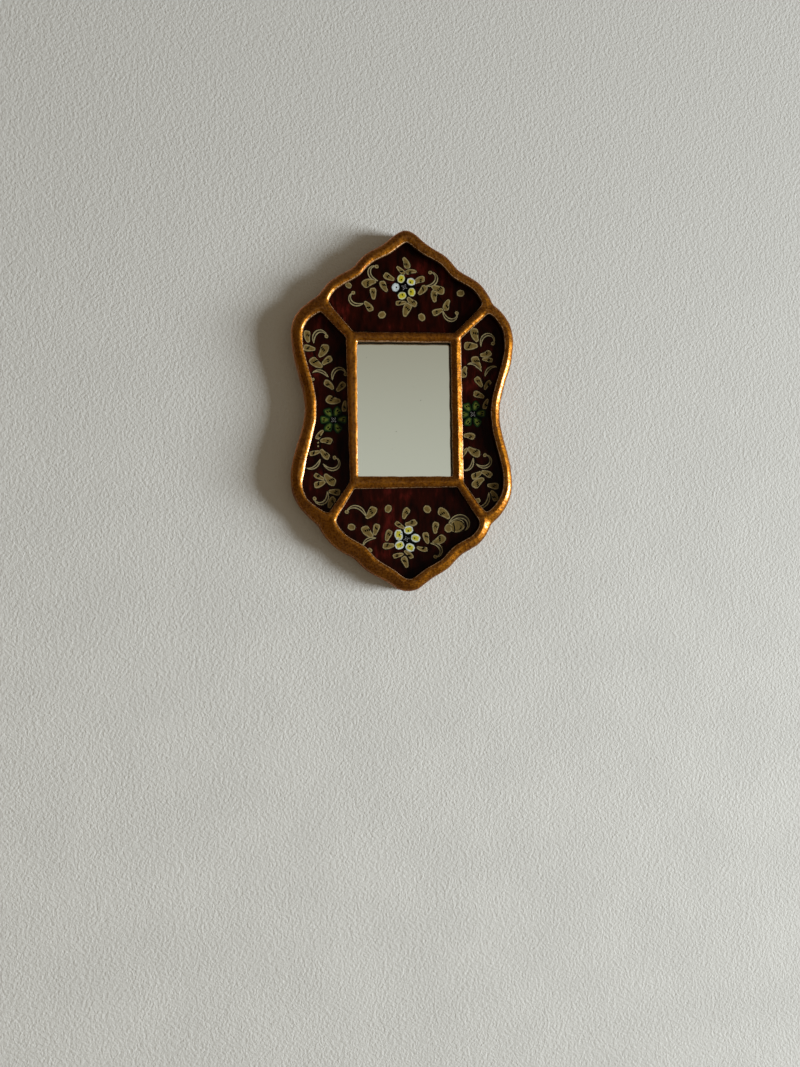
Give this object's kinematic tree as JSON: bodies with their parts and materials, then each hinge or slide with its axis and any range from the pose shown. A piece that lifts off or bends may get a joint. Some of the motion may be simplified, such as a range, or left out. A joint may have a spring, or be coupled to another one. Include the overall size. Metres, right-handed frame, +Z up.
{
  "type": "painted glass wall mirror",
  "caption": "Small wall mirror with a scalloped gilt wood rim and bars that hold flower-painted glass panes round a rectangular mirror plate.",
  "frame": {"origin": "point on the wall plane where the nail carries the hanging ring, at the top of the ring's inside", "axes": "+Z up, -Y out of the wall towards the viewer, +X to the viewer's right"},
  "size_m": [0.1566, 0.0165, 0.2522],
  "materials": {
    "gilt_wood": "worn gold leaf over red-brown bole on carved wood",
    "painted_glass": "clear glass painted burgundy behind, with gold leaves and flowers",
    "silvered_glass": "silvered glass",
    "fibreboard": "plain hardboard",
    "plated_steel": "plated steel"
  },
  "bodies": {
    "frame": {"rim_top": "gilt_wood", "rim_right": "gilt_wood", "rim_bottom": "gilt_wood", "rim_left": "gilt_wood", "rail_top": "gilt_wood", "rail_bottom": "gilt_wood", "stile_left": "gilt_wood", "stile_right": "gilt_wood", "bar_top_left": "gilt_wood", "bar_top_right": "gilt_wood", "bar_bottom_right": "gilt_wood", "bar_bottom_left": "gilt_wood", "pane_top": "painted_glass", "pane_right": "painted_glass", "pane_bottom": "painted_glass", "pane_left": "painted_glass", "mirror_plate": "silvered_glass", "back_board": "fibreboard", "brad_1": "plated_steel", "brad_2": "plated_steel", "brad_3": "plated_steel", "brad_4": "plated_steel", "brad_5": "plated_steel", "brad_6": "plated_steel", "brad_7": "plated_steel", "brad_8": "plated_steel", "hanger_strap": "plated_steel", "hanger_screw_upper": "plated_steel", "hanger_screw_lower": "plated_steel"},
    "ring": {"hanger_ring": "plated_steel"}
  },
  "joints": [
    {"name": "ring_swing", "type": "hinge", "parent": "frame", "child": "ring", "pos_m": [0, -0.0029, -0.0102], "axis": [-1, 0, 0], "range_deg": [-5, 170]}
  ]
}
